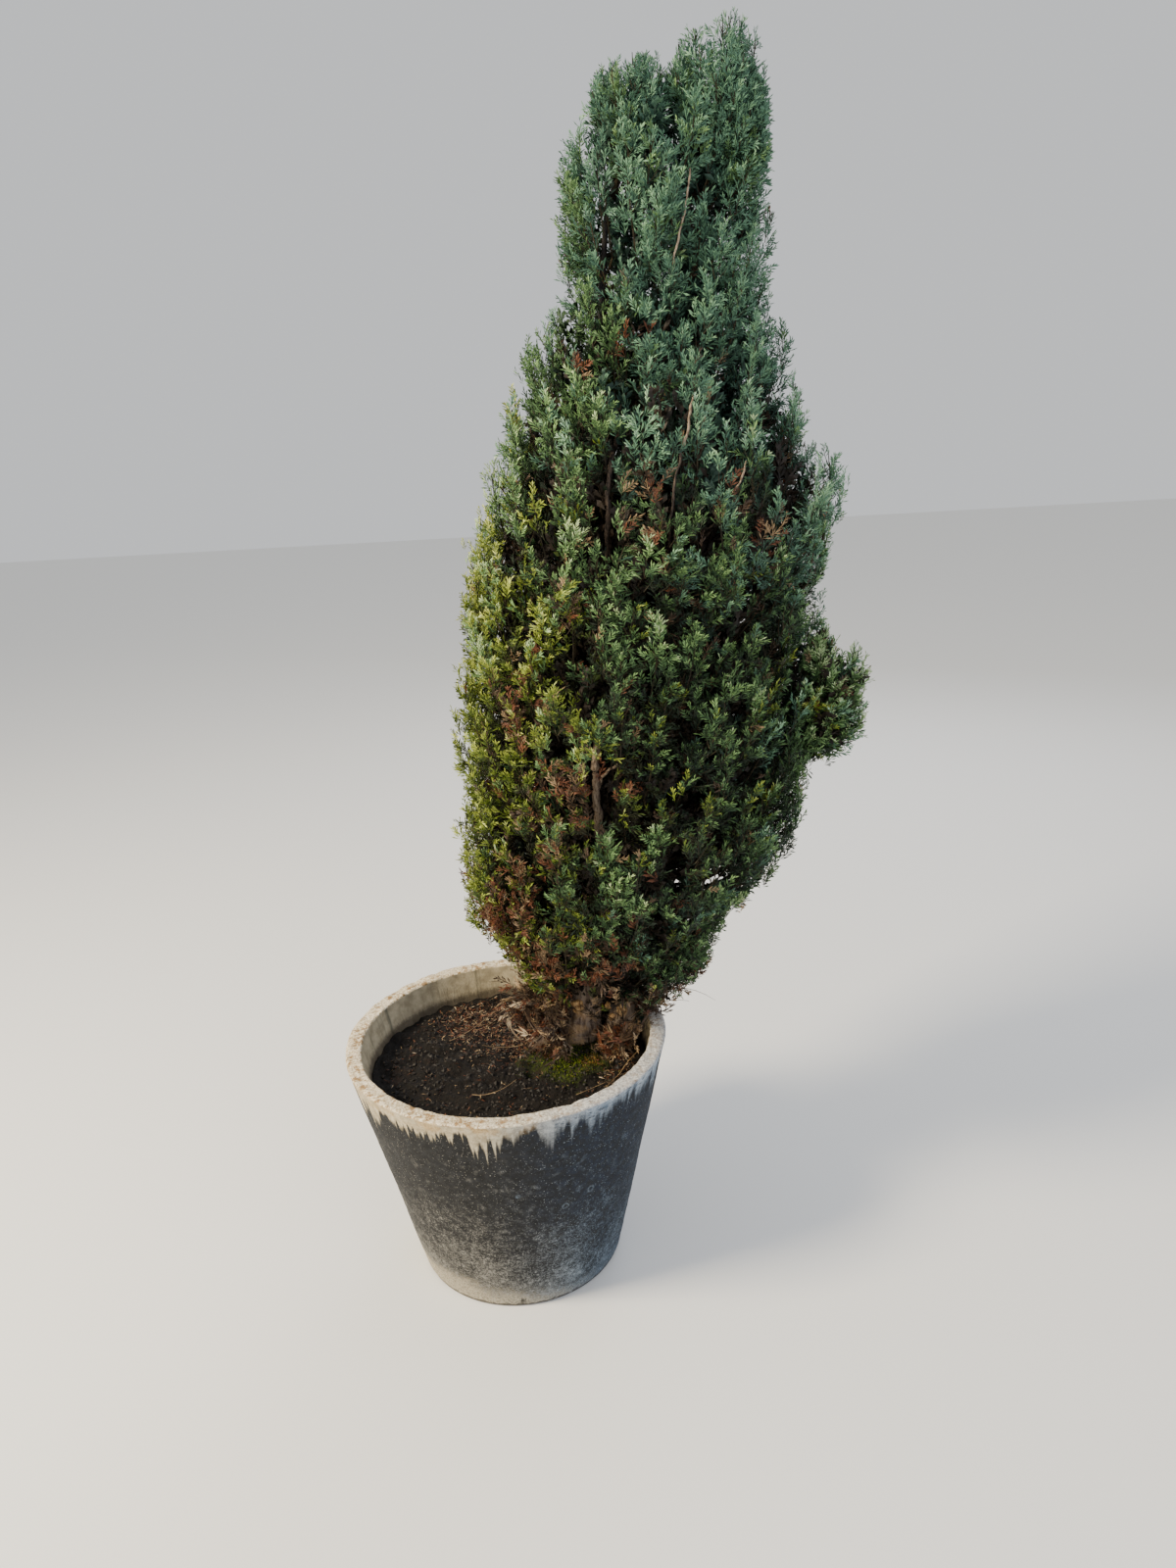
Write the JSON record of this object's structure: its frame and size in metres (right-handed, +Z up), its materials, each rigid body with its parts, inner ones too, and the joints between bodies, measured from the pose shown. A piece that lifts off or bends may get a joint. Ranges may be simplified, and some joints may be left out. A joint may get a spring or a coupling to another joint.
{
  "type": "potted conifer",
  "caption": "Evergreen conifer with a ragged, leaning column of scale-leaf foliage on twin stems, growing in a weathered, tapered concrete pot.",
  "frame": {"origin": "on the ground at the middle of the pot's flat foot", "axes": "+Z up, +X to the right as the picture looks at it, the way the tree leans, and +Y away from the viewer"},
  "size_m": [0.9972, 0.6754, 2.16],
  "materials": {
    "pot": "matte",
    "soil": "matte",
    "bark": "matte",
    "foliage_skirt": "matte",
    "foliage_sunny": "matte",
    "foliage_green": "matte",
    "foliage_shaded": "matte"
  },
  "bodies": {
    "root": {"pot": "pot", "soil": "soil", "stem_left": "bark", "stem_right": "bark", "bough_skirt_back": "bark", "bough_skirt_front": "bark", "bough_low_right": "bark", "bough_low_back_right": "bark", "bough_low_back_left": "bark", "bough_low_left": "bark", "bough_low_front_left": "bark", "bough_low_front_right": "bark", "bough_middle_right": "bark", "bough_middle_back_right": "bark", "bough_middle_back_left": "bark", "bough_middle_front_left": "bark", "bough_middle_front_right": "bark", "bough_upper_right": "bark", "bough_upper_back_right": "bark", "bough_upper_back_left": "bark", "bough_upper_front_left": "bark", "bough_high_back": "bark", "bough_high_front": "bark", "bough_left_leader": "bark", "foliage_skirt_right": "foliage_skirt", "foliage_skirt_back": "foliage_skirt", "foliage_skirt_left": "foliage_skirt", "foliage_skirt_front": "foliage_skirt", "foliage_low_right": "foliage_shaded", "foliage_low_back_right": "foliage_shaded", "foliage_low_back_left": "foliage_green", "foliage_low_left": "foliage_sunny", "foliage_low_front_left": "foliage_sunny", "foliage_low_front_right": "foliage_green", "foliage_middle_right": "foliage_shaded", "foliage_middle_back_right": "foliage_green", "foliage_middle_back_left": "foliage_sunny", "foliage_middle_left": "foliage_sunny", "foliage_middle_front_left": "foliage_green", "foliage_middle_front_right": "foliage_shaded", "foliage_upper_right": "foliage_shaded", "foliage_upper_back_right": "foliage_shaded", "foliage_upper_back_left": "foliage_green", "foliage_upper_left": "foliage_sunny", "foliage_upper_front_left": "foliage_sunny", "foliage_upper_front_right": "foliage_green", "foliage_high_right": "foliage_shaded", "foliage_high_back": "foliage_green", "foliage_high_left": "foliage_sunny", "foliage_high_front": "foliage_green", "foliage_left_plume": "foliage_sunny", "foliage_left_leader": "foliage_sunny", "foliage_right_leader": "foliage_shaded"}
  },
  "joints": []
}
